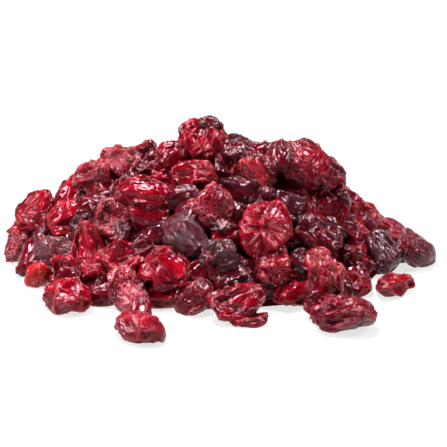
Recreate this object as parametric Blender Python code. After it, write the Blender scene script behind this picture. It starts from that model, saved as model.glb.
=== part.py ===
"""A heap of dried cranberries as it lies on a table, about 117 mm across and 38 mm high.

The heap is one solid: a low core, with every berry that shows fused onto it at its true size.
+X runs along the heap, +Y away from its front, +Z up, and the table is at z = 0.
Lengths are in millimetres until a mesh is made.
"""

import itertools
import math
from collections import namedtuple

import bmesh
import bpy
import numpy as np
from mathutils import Matrix
from mathutils.bvhtree import BVHTree

MM = 0.001
NODE = "cranberries"
SEED = 20

# The heap's foot is a rounded oblong, and its ridge runs along X.
HEAP_LEFT = 56.0
HEAP_RIGHT = 55.0
RIDGE_BACK = 5.0
HEAP_FRONT = 42.0
HEAP_BACK = 38.0
FOOT_SQUARENESS = 2.4
SLOPE_ROUNDNESS = 1.5
# Places along the ridge, and its height at each.
RIDGE_AT = (-56, -50, -36, -24, -12, -5, 5, 20, 31, 40, 50, 55)
RIDGE_HEIGHT = (10.5, 16, 25, 31, 32.5, 37, 33, 31.5, 25, 12, 6.5, 6)

# The core stays this far below the tops of the berries, and its edge is a low wall.
COVER = 6.2
CORE_SHORTER = 1.07
CORE_NARROWER = 1.10
CORE_EDGE = 2.0
CORE_RINGS = 5
CORE_SPOKES = 22

# A berry gives way where it meets others: this share of it, in percent, stays clear of them but for
# the depth that follows. The last depth is cut off flat by the table.
HARD_TO_PRESS = 90
PRESS = 1.4
TABLE_PRESS = 0.45

# The grid of heights that the berries are laid on.
CELL = 0.8
GRID_X = (-68.0, 68.0)
GRID_Y = (-68.0, 60.0)

# The front view that the marks of the berries are read in: across, and up from the table's middle.
EYE_RISE = math.radians(22.0)
EYE_DISTANCE = 335.0
EYE_ACROSS = 0.9
EYE_UP = 10.9
ACROSS = np.array((1.0, 0.0, 0.0))
UP = np.array((0.0, math.sin(EYE_RISE), math.cos(EYE_RISE)))
TO_EYE = np.array((0.0, -math.cos(EYE_RISE), math.sin(EYE_RISE)))
EYE = EYE_ACROSS * ACROSS + EYE_UP * UP + EYE_DISTANCE * TO_EYE
SIGHT_FROM = -62.0
SIGHT_TO = 14.0
SIGHT_STEP = 0.5

# How far a berry on the slope turns its flat side from the slope towards the front. It turns less
# where the heap is lower than the second value.
FACING = 0.35
FACING_FROM = 15.0
# A front berry's middle may be this far above the smooth height, and may climb this far forward.
FRONT_PROUD = 0.5
FRONT_CLIMB = 2.0

# The broad forms. Thickness is a share of the width. Flats is how many sides are pressed flat. The
# other depths are shares of the half thickness, but for lumps and groove, which are shares of the size.
Form = namedtuple("Form", "thickness lumps flats groove cup ruffle fold")
FORMS = {
    "plump": Form(0.72, 0.14, 4, 0.22, 0.1, 0.15, 0.15),
    "smooth": Form(0.72, 0.08, 1, 0.08, 0.0, 0.05, 0.20),
    "dense": Form(0.74, 0.12, 4, 0.20, 0.1, 0.12, 0.15),
    "star": Form(0.66, 0.12, 2, 0.10, 0.3, 0.12, 0.10),
    "pleated": Form(0.60, 0.12, 3, 0.28, 0.3, 0.25, 0.30),
    "cupped": Form(0.50, 0.13, 3, 0.20, 0.8, 0.30, 0.25),
    "folded": Form(0.50, 0.13, 3, 0.34, 0.4, 0.30, 0.65),
}
# A flat lies between these shares of the size from the middle, and takes this much of what bulges
# beyond it. A groove reaches this far to each side of its middle.
FLAT_REACH = (0.52, 0.82)
FLAT_FIRMNESS = 0.92
GROOVE_WIDTH = 0.30
# Lumps are a sum of slow waves: how many, their pitch, and how far the sum reaches.
LUMP_WAVES = 5
LUMP_PITCH = (1.6, 3.0)
LUMP_REACH = 1.3
# A rim ruffles in these numbers of waves round it, and a fold bends by this much less or more.
RUFFLE_WAVES = (2, 3, 4)
FOLD_RANGE = (0.8, 1.2)
# The folds of the skin stand out a little from the broad form, which is this share of the full size.
BROAD_SHARE = 0.98

# The berries that show from the front, the lowest first. Marks and sizes are in millimetres, the
# slant of the long side is in degrees, and the tone runs from 0, near black, to 1, bright red.
Berry = namedtuple("Berry", "across up length width slant form tone")
FRONT_BERRIES = (
    # The front edge, on the table, with the berries in its shadow first.
    Berry(-31.3, -8.4, 7.0, 6.0, 0, "plump", 0.40),
    Berry(-15.4, -9.2, 8.5, 6.5, 5, "plump", 0.60),
    Berry(-1.2, -8.4, 8.0, 6.5, 20, "plump", 0.25),
    Berry(13.2, -6.4, 7.0, 6.0, 0, "smooth", 0.04),
    Berry(21.2, -7.8, 12.5, 6.8, 5, "plump", 0.60),
    Berry(5.8, -8.4, 11.0, 7.0, 80, "plump", 0.15),
    Berry(27.5, -9.0, 13.0, 8.0, 60, "plump", 0.30),
    Berry(-40.0, -5.0, 10.0, 7.0, 70, "plump", 0.25),
    Berry(-46.0, -1.0, 9.0, 7.0, 30, "plump", 0.30),
    Berry(47.5, 3.0, 9.0, 6.5, 10, "plump", 0.20),
    Berry(37.0, -5.4, 7.5, 7.0, 30, "dense", 0.60),
    Berry(47.2, -6.0, 12.2, 5.8, 5, "plump", 0.70),
    Berry(52.2, 3.6, 14.0, 9.5, -12, "smooth", 0.30),
    Berry(-54.0, 4.6, 10.0, 8.0, 50, "dense", 0.12),
    Berry(-49.4, -3.2, 7.5, 6.5, 20, "smooth", 0.90),
    Berry(-40.9, -9.6, 11.5, 9.5, -15, "dense", 0.60),
    Berry(-21.2, -14.9, 12.0, 5.0, 88, "pleated", 0.50),
    Berry(-20.6, -18.7, 12.8, 8.0, -16, "plump", 0.65),
    Berry(-7.3, -9.2, 9.5, 8.0, 55, "plump", 0.32),
    Berry(4.9, -10.9, 13.6, 8.2, 12, "pleated", 0.80),
    Berry(33.2, -13.4, 15.5, 10.4, -5, "dense", 0.50),
    # The foot of the slope.
    Berry(-21.3, -1.6, 9.5, 6.5, 90, "smooth", 0.12),
    Berry(-19.7, 3.5, 8.0, 6.5, 0, "dense", 0.20),
    Berry(21.0, -0.8, 10.0, 7.0, 80, "smooth", 0.20),
    Berry(36.2, -0.8, 10.5, 8.5, -60, "plump", 0.25),
    Berry(42.9, 3.0, 11.5, 9.5, 110, "plump", 0.03),
    Berry(-38.3, -0.8, 12.0, 7.5, 5, "plump", 0.80),
    Berry(-5.1, -2.2, 9.0, 7.5, 60, "dense", 0.25),
    Berry(3.0, -2.2, 10.5, 8.0, 35, "pleated", 0.35),
    Berry(13.0, -0.3, 11.5, 9.5, -60, "dense", 0.70),
    Berry(28.4, -1.9, 13.0, 8.0, 100, "dense", 0.65),
    Berry(-0.5, 2.2, 8.5, 8.0, 30, "dense", 0.04),
    Berry(-27.5, 0.8, 12.0, 10.5, 40, "cupped", 0.85),
    Berry(-14.0, -1.9, 13.0, 10.0, -50, "folded", 0.90),
    Berry(-24.6, -7.2, 12.0, 9.0, -65, "cupped", 0.70),
    Berry(-44.3, 3.2, 11.5, 8.0, -10, "smooth", 0.06),
    Berry(-35.0, 3.8, 14.0, 7.5, 100, "folded", 0.85),
    # The middle of the slope.
    Berry(23.5, 8.1, 9.0, 7.5, 70, "dense", 0.10),
    Berry(4.3, 13.5, 8.0, 7.0, 20, "smooth", 0.10),
    Berry(-51.2, 10.0, 11.0, 8.0, 25, "plump", 0.80),
    Berry(36.7, 4.9, 7.5, 6.0, 30, "dense", 0.60),
    Berry(29.7, 5.4, 7.5, 5.5, 0, "plump", 0.35),
    Berry(1.6, 8.1, 8.5, 7.0, -40, "dense", 0.65),
    Berry(-39.7, 11.3, 13.0, 9.5, 15, "folded", 0.80),
    Berry(-27.8, 12.4, 12.5, 11.0, 20, "cupped", 0.45),
    Berry(-19.4, 14.0, 10.5, 8.5, -20, "dense", 0.30),
    Berry(-9.5, 7.6, 13.0, 11.0, -40, "smooth", 0.10),
    Berry(12.4, 8.8, 14.0, 12.8, 80, "star", 0.95),
    Berry(-5.7, 13.8, 8.0, 6.0, -40, "smooth", 0.60),
    Berry(-1.9, 15.4, 10.0, 8.0, 60, "dense", 0.50),
    Berry(44.6, 9.5, 9.0, 5.5, -10, "pleated", 0.60),
    Berry(35.1, 8.6, 8.0, 6.0, -20, "plump", 0.35),
    # The upper slope.
    Berry(-53.0, 15.0, 6.5, 5.5, 80, "plump", 0.30),
    Berry(-48.9, 13.6, 11.5, 9.5, 35, "cupped", 0.95),
    Berry(18.4, 15.9, 11.0, 8.0, -25, "smooth", 0.08),
    Berry(36.5, 12.2, 9.0, 7.5, -30, "cupped", 0.70),
    Berry(28.4, 14.3, 10.5, 8.5, -35, "cupped", 0.45),
    Berry(38.9, 15.7, 10.0, 7.0, -40, "plump", 0.60),
    Berry(-10.5, 17.6, 9.0, 7.0, 10, "smooth", 0.10),
    Berry(6.2, 20.0, 12.5, 8.0, -15, "smooth", 0.12),
    Berry(-25.7, 21.0, 8.0, 6.5, 30, "dense", 0.20),
    Berry(-20.0, 18.9, 13.0, 7.5, -8, "plump", 0.65),
    Berry(33.0, 20.3, 6.5, 6.0, 60, "smooth", 0.05),
    Berry(22.0, 21.6, 11.0, 10.0, -60, "plump", 0.35),
    Berry(2.4, 26.0, 9.5, 7.0, 90, "dense", 0.25),
    Berry(-14.9, 24.8, 9.0, 7.0, 10, "cupped", 0.60),
    Berry(-6.8, 23.5, 11.5, 8.0, -10, "cupped", 0.70),
    Berry(9.2, 24.8, 13.0, 8.5, -35, "dense", 0.55),
    Berry(-39.4, 18.9, 12.5, 9.0, 38, "pleated", 0.70),
    Berry(-31.3, 21.9, 11.5, 8.5, 65, "smooth", 0.80),
    # The ridge.
    Berry(-34.6, 24.4, 9.5, 6.5, 20, "plump", 0.35),
    Berry(-19.4, 28.6, 10.0, 6.5, 75, "folded", 0.25),
    Berry(-26.7, 27.4, 11.0, 9.0, 10, "star", 0.70),
    Berry(-13.0, 29.0, 9.5, 8.0, 50, "dense", 0.25),
    Berry(12.4, 29.2, 10.5, 6.5, -10, "dense", 0.20),
    Berry(5.4, 29.6, 9.5, 6.5, -20, "dense", 0.22),
    Berry(22.2, 27.0, 13.0, 11.0, -25, "plump", 0.65),
    Berry(28.9, 24.8, 9.5, 7.5, -60, "dense", 0.40),
    Berry(16.0, 28.5, 9.5, 7.0, 80, "dense", 0.55),
    Berry(-4.8, 33.2, 12.0, 10.4, 75, "dense", 0.75),
    Berry(-2.4, 37.6, 6.5, 4.5, -10, "dense", 0.12),
    # A flat scrap that lies in front.
    Berry(6.5, -14.9, 11.5, 3.8, 0, "cupped", 0.60),
)

# Berries round the foot of the back: how many, the angles between which they lie, in degrees, how far
# out, and the height that they fill, which is at most a share of the ridge's.
FOOT_BERRIES = 9
FOOT_FROM = 40.0
FOOT_TO = 150.0
FOOT_INSIDE = 0.88
FOOT_STRAY = (0.93, 1.05)
FOOT_HEIGHT = 6.5
FOOT_SHARE = 0.5
# The other berries fill the ends and the back up to the heap's smooth height. In front of FRONT_LINE
# they fill only gaps that are deeper by FRONT_DEEPER, and are dark. None lies in front of FILL_FROM.
# This share of a filling berry, in percent, is at most FILL_PROUD above the height that it fills.
FILL_MOST = 86
FILL_GAP = 2.4
FILL_SHARE = 90
FILL_PROUD = 1.0
FILL_TRIES = 6
FILL_SHRINK = 0.88
FILL_PATCH = 5
FILL_STRAY = 1.5
FILL_LENGTH = (9.0, 14.5)
FRONT_DEEPER = 4.5
FRONT_LINE = 7.0
FILL_FROM = -25.0
FRONT_TONE = 0.35
FILL_WIDTH_SHARE = (0.62, 0.88)
FILL_FORMS = ("plump", "smooth", "dense", "star", "pleated", "cupped", "folded")
FILL_TILT = 0.25
DARK_TONES = (0.0, 0.35)
BRIGHT_TONES = (0.5, 0.95)
DARK_SHARE = 0.42

# A fused berry's sides, and the angles from its top at which its rings lie, in degrees.
BERRY_SIDES = 7
BERRY_RINGS = (36, 76, 120)
# A ball with few sides lies inside the round one, and this makes up for it.
FEW_SIDES_GROWTH = 1.06

# A berry that touches nothing is moved until it presses this far into its neighbour.
GATHER_PRESS = 0.7
GATHER_PASSES = 60

# The slivers left where berries meet are closed up until no more triangles than this are left.
MOST_TRIANGLES = 11800

# The block that cuts the lowest berries flat, in metres, and the skin.
TABLE_SIZE = (0.2, 0.2, 0.02)
SKIN_COLOUR = (0.22, 0.012, 0.022, 1.0)
SKIN_ROUGHNESS = 0.32

Laid = namedtuple("Laid", "berry number axes centre")


def heap_height(x, y):
    """The smooth height that the tops of the berries reach, at x and y."""
    along = np.abs(x) / np.where(x < 0, HEAP_LEFT, HEAP_RIGHT)
    narrowing = np.clip(1 - along**FOOT_SQUARENESS, 0, 1) ** (1 / FOOT_SQUARENESS)
    out = y - RIDGE_BACK
    reach = np.where(out < 0, HEAP_FRONT, HEAP_BACK) * narrowing
    fall = 1 - (np.abs(out) / np.maximum(reach, CELL)) ** SLOPE_ROUNDNESS
    return np.interp(x, RIDGE_AT, RIDGE_HEIGHT) * np.clip(fall, 0, 1)


def core_height(x, y):
    out = RIDGE_BACK + (y - RIDGE_BACK) * CORE_NARROWER
    return np.maximum(heap_height(x * CORE_SHORTER, out) - COVER, 0)


def unit(vector):
    return vector / np.linalg.norm(vector)


# The ways to the corners and to the middles of the edges and sides of a box.
BOX_WAYS = [way for way in itertools.product((-1, 0, 1), repeat=3) if any(way)]
CORNER_RAYS = np.array([unit(np.array(way)) for way in BOX_WAYS])


def slope_normal(x, y):
    """The direction square to the heap's smooth surface."""
    reach = 4.0
    rise_x = heap_height(x + reach, y) - heap_height(x - reach, y)
    rise_y = heap_height(x, y + reach) - heap_height(x, y - reach)
    return unit(np.array((-rise_x, -rise_y, 2 * reach), dtype=float))


def round_rays():
    """Directions spread evenly round a ball, for laying a berry on the grid."""
    ball = bmesh.new()
    bmesh.ops.create_icosphere(ball, subdivisions=4, radius=1.0)
    rays = np.array([vert.co for vert in ball.verts])
    ball.free()
    return rays / np.linalg.norm(rays, axis=1)[:, None]


def few_rays():
    """Directions and triangles of a ball with few sides, its poles on the thin axis."""
    rays = [(0.0, 0.0, 1.0)]
    for ring in BERRY_RINGS:
        polar = math.radians(ring)
        out = math.sin(polar)
        for side in range(BERRY_SIDES):
            turn = math.tau * side / BERRY_SIDES
            rays.append((out * math.cos(turn), out * math.sin(turn), math.cos(polar)))
    rays.append((0.0, 0.0, -1.0))
    last = len(rays) - 1
    faces = []
    for side in range(BERRY_SIDES):
        after = (side + 1) % BERRY_SIDES
        faces.append((0, 1 + side, 1 + after))
        faces.append((last, last - BERRY_SIDES + after, last - BERRY_SIDES + side))
        for ring in range(len(BERRY_RINGS) - 1):
            near = 1 + ring * BERRY_SIDES
            far = near + BERRY_SIDES
            faces.append((near + side, far + side, far + after))
            faces.append((near + side, far + after, near + after))
    return np.array(rays), faces


def swells(rays, draw):
    """Broad uneven swellings round a ball, mostly between -1 and 1."""
    directions = draw.normal(size=(LUMP_WAVES, 3))
    directions /= np.linalg.norm(directions, axis=1)[:, None]
    pitches = draw.uniform(*LUMP_PITCH, (LUMP_WAVES, 1))
    phases = draw.uniform(0, math.tau, LUMP_WAVES)
    return LUMP_REACH * np.sin(rays @ (directions * pitches).T + phases).mean(axis=1)


def berry_form(rays, berry, number):
    """Points of a berry's broad form along the rays, before it is centred and brought to size."""
    draw = np.random.default_rng([SEED, number])
    form = FORMS[berry.form]
    half = np.array((berry.length, berry.width, berry.width * form.thickness)) / 2
    points = rays * (1 + form.lumps * swells(rays, draw))[:, None]
    for _ in range(form.flats):
        side = unit(draw.normal(size=3))
        over = np.maximum(points @ side - draw.uniform(*FLAT_REACH), 0)
        points -= FLAT_FIRMNESS * over[:, None] * side
    across, towards = unit(draw.normal(size=3) * (0.5, 1, 1)), unit(draw.normal(size=3))
    sunk = np.exp(-((rays @ across / GROOVE_WIDTH) ** 2)) * np.clip(0.5 + rays @ towards, 0, 1)
    points *= (1 - form.groove * sunk)[:, None] * half
    rim = rays[:, 0] ** 2 + rays[:, 1] ** 2
    around = np.arctan2(rays[:, 1], rays[:, 0])
    starts = draw.uniform(0, math.tau, len(RUFFLE_WAVES))
    wave = sum(np.sin(order * around + start) for order, start in zip(RUFFLE_WAVES, starts))
    points[:, 2] += half[2] * (form.cup * rim + form.ruffle * rim**1.5 * wave)
    bend = form.fold * draw.uniform(*FOLD_RANGE)
    radius = half[0] / bend
    turn = points[:, 0] / radius
    from_centre = radius - points[:, 2]
    points[:, 0] = from_centre * np.sin(turn)
    points[:, 2] = radius - from_centre * np.cos(turn)
    return points


def berry_points(rays, berry, number):
    """Points of a berry's broad form along the rays, in its own axes: long, wide and thin."""
    corners = berry_form(CORNER_RAYS, berry, number)
    low, high = corners.min(axis=0), corners.max(axis=0)
    growth = np.array((berry.length, berry.width, 1)) * BROAD_SHARE / (*(high - low)[:2], 1)
    return (berry_form(rays, berry, number) - (low + high) / 2) * growth


def sight(across, up, y):
    """The point at depth y on the line of sight through a mark."""
    mark = across * ACROSS + up * UP
    along = mark - EYE
    return EYE + along * (y - EYE[1]) / along[1]


def facing_axes(normal, slant, facing):
    """A berry's axes as rows: its long side slants as seen from the front, its thin side faces out."""
    thin = unit((1 - facing) * normal + facing * TO_EYE)
    angle = math.radians(slant)
    seen = math.cos(angle) * ACROSS + math.sin(angle) * UP
    along = unit(seen - TO_EYE * (seen @ thin) / (TO_EYE @ thin))
    return np.array((along, np.cross(thin, along), thin))


class Ground:
    """The heights of the table, the core and the berries laid so far, on a grid."""

    def __init__(self):
        self.x = np.arange(GRID_X[0], GRID_X[1], CELL) + CELL / 2
        self.y = np.arange(GRID_Y[0], GRID_Y[1], CELL) + CELL / 2
        self.height = core_height(self.x[:, None], self.y[None, :])

    def cells(self, points):
        row = np.clip(((points[:, 0] - GRID_X[0]) / CELL).astype(int), 0, len(self.x) - 1)
        column = np.clip(((points[:, 1] - GRID_Y[0]) / CELL).astype(int), 0, len(self.y) - 1)
        return row, column

    def rest(self, points, x, y):
        """The height at which a berry dropped at x and y comes to rest."""
        under = self.height[self.cells(points + (x, y, 0))]
        on_table = -TABLE_PRESS - points[:, 2].min()
        return max(np.percentile(under - points[:, 2], HARD_TO_PRESS) - PRESS, on_table)

    def add(self, points, centre):
        placed = points + centre
        np.maximum.at(self.height, self.cells(placed), placed[:, 2])


def where_sight_meets(height, across, up, start=SIGHT_FROM):
    """Where the line of sight through a mark first meets a height, coming from the front.

    If it passes over the ridge without meeting it, the place is the nearest one to the line.
    """
    nearest = None
    for y in np.arange(start, SIGHT_TO, SIGHT_STEP):
        point = sight(across, up, y)
        met = height(point[0], y)
        above = point[2] - met
        if above <= 0:
            return point
        if nearest is None or above < nearest[0]:
            nearest = (above, np.array((point[0], y, met)))
    return nearest[1]


def lay_front(ground, rays):
    """Lays the berries that show from the front, each where its mark meets the heap."""
    laid = []
    for number, berry in enumerate(FRONT_BERRIES):
        half = berry.width * FORMS[berry.form].thickness / 2

        def outermost(x, y):
            return max(heap_height(x, y), half) + FRONT_PROUD

        spot = where_sight_meets(outermost, berry.across, berry.up)
        facing = FACING * min(1.0, heap_height(spot[0], spot[1]) / FACING_FROM)
        axes = facing_axes(slope_normal(spot[0], spot[1]), berry.slant, facing)
        points = berry_points(rays, berry, number) @ axes

        def rest(x, y):
            return ground.rest(points, x, y)

        centre = where_sight_meets(rest, berry.across, berry.up, spot[1] - FRONT_CLIMB)
        centre[2] = max(centre[2], -TABLE_PRESS - points[:, 2].min())
        ground.add(points, centre)
        laid.append(Laid(berry, number, axes, centre))
    return laid


def random_berry(draw, scale):
    length = scale * draw.uniform(*FILL_LENGTH)
    form = FILL_FORMS[draw.integers(len(FILL_FORMS))]
    dark, bright = draw.uniform(*DARK_TONES), draw.uniform(*BRIGHT_TONES)
    tone = draw.choice((dark, bright), p=(DARK_SHARE, 1 - DARK_SHARE))
    return Berry(0, 0, length, length * draw.uniform(*FILL_WIDTH_SHARE), draw.uniform(0, 360), form, tone)


def drop(ground, rays, draw, berry, number, x, y):
    """A berry let down at x and y, lying nearly flat on the slope there, and its points."""
    thin = unit(slope_normal(x, y) + FILL_TILT * draw.normal(size=3))
    heading = math.radians(berry.slant)
    long_side = unit(np.cross(thin, (math.cos(heading), math.sin(heading), 0.01)))
    axes = np.array((long_side, np.cross(thin, long_side), thin))
    points = berry_points(rays, berry, number) @ axes
    centre = np.array((x, y, ground.rest(points, x, y)))
    return Laid(berry, number, axes, centre), points


def lay_foot(ground, rays, draw, number):
    """Lays berries on the table round the foot of the heap's back."""
    power = 2 / FOOT_SQUARENESS
    laid = []
    for turn in np.radians(np.linspace(FOOT_FROM, FOOT_TO, FOOT_BERRIES)):
        out = FOOT_INSIDE * draw.uniform(*FOOT_STRAY)
        half_length = HEAP_LEFT if math.cos(turn) < 0 else HEAP_RIGHT
        x = out * half_length * math.copysign(abs(math.cos(turn)) ** power, math.cos(turn))
        y = RIDGE_BACK + out * HEAP_BACK * math.sin(turn) ** power
        piece, points = drop(ground, rays, draw, random_berry(draw, 1), number + len(laid), x, y)
        ground.add(points, piece.centre)
        laid.append(piece)
    return laid


def lay_fill(ground, rays, draw, number):
    """Lays berries where the heap is furthest below its smooth height, until it is full."""
    smooth = heap_height(ground.x[:, None], ground.y[None, :])
    foot = np.minimum(FOOT_SHARE * np.interp(ground.x, RIDGE_AT, RIDGE_HEIGHT), FOOT_HEIGHT)
    foot = np.where(ground.y > RIDGE_BACK, foot[:, None], 0)
    wanted = np.where((smooth > 0) & (ground.y > FILL_FROM), np.maximum(smooth, foot), 0)
    deeper = np.where(ground.y < FRONT_LINE, FRONT_DEEPER, 0)[None, :]
    rows, columns = len(ground.x) // FILL_PATCH, len(ground.y) // FILL_PATCH
    patches = (rows, FILL_PATCH, columns, FILL_PATCH)
    laid = []
    misses = np.zeros((rows, columns), dtype=int)
    while len(laid) < FILL_MOST:
        gap = np.where(wanted > 0, wanted - ground.height - deeper, 0)
        gap = gap[: rows * FILL_PATCH, : columns * FILL_PATCH].reshape(patches).mean(axis=(1, 3))
        gap[misses == FILL_TRIES] = 0
        if gap.max() < FILL_GAP:
            break
        row, column = np.unravel_index(gap.argmax(), gap.shape)
        half_patch = FILL_PATCH // 2
        x = ground.x[row * FILL_PATCH + half_patch] + draw.uniform(-FILL_STRAY, FILL_STRAY)
        y = ground.y[column * FILL_PATCH + half_patch] + draw.uniform(-FILL_STRAY, FILL_STRAY)
        berry = random_berry(draw, FILL_SHRINK ** misses[row, column])
        if y < FRONT_LINE:
            berry = berry._replace(tone=berry.tone * FRONT_TONE)
        piece, points = drop(ground, rays, draw, berry, number + len(laid), x, y)
        proud = points[:, 2] + piece.centre[2] - wanted[ground.cells(points + piece.centre)]
        if np.percentile(proud, FILL_SHARE) > FILL_PROUD - deeper[0, column * FILL_PATCH]:
            misses[row, column] += 1
            continue
        ground.add(points, piece.centre)
        laid.append(piece)
    return laid


def touching_groups(shapes, faces):
    """Which group of touching shapes each one belongs to; the last shape is the core."""
    trees = [BVHTree.FromPolygons(points.tolist(), sides) for points, sides in zip(shapes, faces)]
    lows = np.array([points.min(axis=0) for points in shapes])
    highs = np.array([points.max(axis=0) for points in shapes])
    group = list(range(len(shapes)))
    for one in range(len(shapes)):
        near = ((lows <= highs[one]) & (highs >= lows[one])).all(axis=1)
        for other in np.flatnonzero(near):
            if other > one and group[other] != group[one] and trees[one].overlap(trees[other]):
                joined = group[other]
                group = [group[one] if member == joined else member for member in group]
    return np.array(group)


def gather(laid, rays, faces, core):
    """Moves each berry or group that touches nothing else until it presses into its neighbour."""
    shapes = [berry_points(rays, piece.berry, piece.number) @ piece.axes + piece.centre for piece in laid]
    shapes.append(np.array(core[0]))
    sides = [faces] * len(laid) + [core[1]]
    for _ in range(GATHER_PASSES):
        group = touching_groups(shapes, sides)
        loose = [member for member in np.unique(group) if member != group[-1]]
        if not loose:
            break
        members = np.flatnonzero(group == loose[0])
        others = np.flatnonzero(group == group[-1])
        merged_points = np.concatenate([shapes[other] for other in others])
        merged_sides = []
        first = 0
        for other in others:
            merged_sides += [tuple(first + corner for corner in side) for side in sides[other]]
            first += len(shapes[other])
        tree = BVHTree.FromPolygons(merged_points.tolist(), merged_sides)
        nearest = None
        for member in members:
            for point in shapes[member]:
                met, _, _, away = tree.find_nearest(point)
                if nearest is None or away < nearest[1]:
                    nearest = (np.array(met) - point, away)
        shift = nearest[0] * (1 + GATHER_PRESS / max(nearest[1], 0.01))
        for member in members:
            shapes[member] = shapes[member] + shift
            laid[member] = laid[member]._replace(centre=laid[member].centre + shift)
    return laid


def lay_heap():
    ground = Ground()
    draw = np.random.default_rng(SEED)
    rays = round_rays()
    laid = lay_front(ground, rays)
    laid += lay_foot(ground, rays, draw, len(laid))
    laid += lay_fill(ground, rays, draw, len(laid))
    few, faces = few_rays()
    return gather(laid, few * FEW_SIDES_GROWTH, faces, core_shape())


def mesh_object(name, points, faces, collection):
    mesh = bpy.data.meshes.new(name)
    mesh.from_pydata((np.asarray(points) * MM).tolist(), [], faces)
    thing = bpy.data.objects.new(name, mesh)
    collection.objects.link(thing)
    return thing


def core_shape():
    """The core: a closed mound of rings round the heap's middle, with a flat base on the table."""
    power = 2 / FOOT_SQUARENESS
    points = [(0.0, RIDGE_BACK, float(core_height(0.0, RIDGE_BACK)))]
    rim = []
    for ring in range(1, CORE_RINGS + 1):
        for spoke in range(CORE_SPOKES):
            turn = math.tau * spoke / CORE_SPOKES
            cos, sin = math.cos(turn), math.sin(turn)
            out = ring / CORE_RINGS
            half_length = (HEAP_LEFT if cos < 0 else HEAP_RIGHT) / CORE_SHORTER
            half_depth = (HEAP_FRONT if sin < 0 else HEAP_BACK) / CORE_NARROWER
            x = out * math.copysign(abs(cos) ** power, cos) * half_length
            y = RIDGE_BACK + out * math.copysign(abs(sin) ** power, sin) * half_depth
            points.append((x, y, max(float(core_height(x, y)), CORE_EDGE)))
            if ring == CORE_RINGS:
                rim.append((x, y, 0.0))
    first_rim = len(points)
    points += rim
    points.append((0.0, RIDGE_BACK, 0.0))
    faces = []
    for spoke in range(CORE_SPOKES):
        after = (spoke + 1) % CORE_SPOKES
        faces.append((0, 1 + spoke, 1 + after))
        for ring in range(CORE_RINGS):
            near = 1 + ring * CORE_SPOKES
            far = near + CORE_SPOKES
            faces.append((near + spoke, far + spoke, far + after))
            faces.append((near + spoke, far + after, near + after))
        faces.append((len(points) - 1, first_rim + after, first_rim + spoke))
    return points, faces


def table_object(collection):
    """A block whose top is the table, which cuts the lowest berries flat."""
    block = bmesh.new()
    bmesh.ops.create_cube(block, size=1.0)
    bmesh.ops.scale(block, vec=TABLE_SIZE, verts=block.verts)
    bmesh.ops.translate(block, vec=(0, 0, -TABLE_SIZE[2] / 2), verts=block.verts)
    mesh = bpy.data.meshes.new("table")
    block.to_mesh(mesh)
    block.free()
    thing = bpy.data.objects.new("table", mesh)
    collection.objects.link(thing)
    return thing


def apply_modifiers(thing):
    graph = bpy.context.evaluated_depsgraph_get()
    mesh = bpy.data.meshes.new_from_object(thing.evaluated_get(graph))
    thing.modifiers.clear()
    thing.data = mesh


def keep_outer_skin(thing):
    """Drops the skins of sealed hollows and any loose scrap, and keeps the heap's outer skin."""
    whole = bmesh.new()
    whole.from_mesh(thing.data)
    bmesh.ops.triangulate(whole, faces=whole.faces)
    unseen = set(whole.faces)
    skins = []
    while unseen:
        skin = set()
        edge_of_skin = [unseen.pop()]
        while edge_of_skin:
            face = edge_of_skin.pop()
            skin.add(face)
            for edge in face.edges:
                for beside in edge.link_faces:
                    if beside in unseen:
                        unseen.remove(beside)
                        edge_of_skin.append(beside)
        skins.append(skin)
    skins.sort(key=len)
    extra = [face for skin in skins[:-1] for face in skin]
    bmesh.ops.delete(whole, geom=extra, context="FACES")
    whole.to_mesh(thing.data)
    whole.free()


def centre_over_origin(thing):
    """Moves the mesh along the table until the middle of its bounding box is at x = y = 0."""
    for vert in thing.data.vertices:
        vert.co.z = max(vert.co.z, 0)
    points = np.array([vert.co for vert in thing.data.vertices])
    middle = (points.min(axis=0) + points.max(axis=0)) / 2
    thing.data.transform(Matrix.Translation((-middle[0], -middle[1], 0)))


def material():
    skin = bpy.data.materials.new("dried_cranberry")
    skin.use_nodes = True
    shader = skin.node_tree.nodes["Principled BSDF"]
    shader.inputs["Base Color"].default_value = SKIN_COLOUR
    shader.inputs["Roughness"].default_value = SKIN_ROUGHNESS
    shader.inputs["Metallic"].default_value = 0.0
    return skin


def build():
    for thing in list(bpy.data.objects):
        bpy.data.objects.remove(thing)
    scene_collection = bpy.context.scene.collection
    pieces = bpy.data.collections.new("pieces")
    scene_collection.children.link(pieces)
    rays, faces = few_rays()
    for piece in lay_heap():
        points = berry_points(rays * FEW_SIDES_GROWTH, piece.berry, piece.number) @ piece.axes
        mesh_object(f"berry_{piece.number}", points + piece.centre, faces, pieces)
    heap = mesh_object(NODE, *core_shape(), scene_collection)
    fuse = heap.modifiers.new("fuse", "BOOLEAN")
    fuse.operation = "UNION"
    fuse.operand_type = "COLLECTION"
    fuse.collection = pieces
    fuse.solver = "MANIFOLD"
    apply_modifiers(heap)
    table = table_object(scene_collection)
    cut = heap.modifiers.new("cut", "BOOLEAN")
    cut.operation = "DIFFERENCE"
    cut.object = table
    cut.solver = "MANIFOLD"
    apply_modifiers(heap)
    for piece in list(pieces.objects) + [table]:
        bpy.data.objects.remove(piece)
    bpy.data.collections.remove(pieces)
    keep_outer_skin(heap)
    triangles = len(heap.data.polygons)
    if triangles > MOST_TRIANGLES:
        fewer = heap.modifiers.new("fewer", "DECIMATE")
        fewer.ratio = MOST_TRIANGLES / triangles
        apply_modifiers(heap)
    centre_over_origin(heap)
    heap.data.materials.clear()
    heap.data.materials.append(material())


build()
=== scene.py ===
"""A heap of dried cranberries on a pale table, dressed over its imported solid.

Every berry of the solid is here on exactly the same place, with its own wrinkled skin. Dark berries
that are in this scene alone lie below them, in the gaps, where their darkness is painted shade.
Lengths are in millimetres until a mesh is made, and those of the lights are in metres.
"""

import itertools
import math
from collections import namedtuple
from functools import lru_cache

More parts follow.
